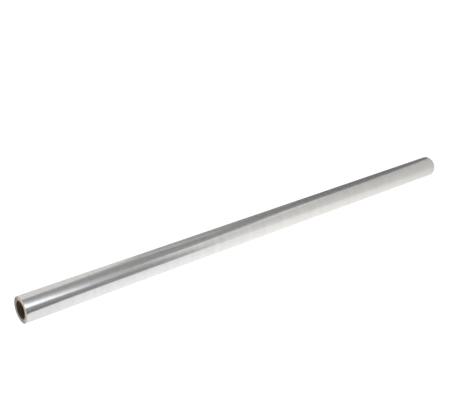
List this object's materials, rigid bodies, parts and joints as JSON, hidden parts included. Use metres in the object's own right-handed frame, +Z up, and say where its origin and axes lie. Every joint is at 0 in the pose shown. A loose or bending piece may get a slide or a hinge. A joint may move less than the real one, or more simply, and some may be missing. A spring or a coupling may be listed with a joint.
{
  "type": "roll of cellophane",
  "caption": "Long slim roll of clear glossy wrapping film wound tightly on an open brown paper tube, which a dispenser rod can pass through.",
  "frame": {"origin": "on the surface that the roll lies on, under the middle of the roll", "axes": "+X along the roll's axis, +Z up, with the film's loose end at the back on the +Y side"},
  "size_m": [1.001, 0.0434, 0.0431],
  "materials": {
    "film": "clear glossy film, silvery where many turns lie on each other",
    "tube_paper": "matt brown spiral-wound paper board"
  },
  "bodies": {
    "root": {"wound_film": "film", "paper_tube": "tube_paper"}
  },
  "joints": []
}
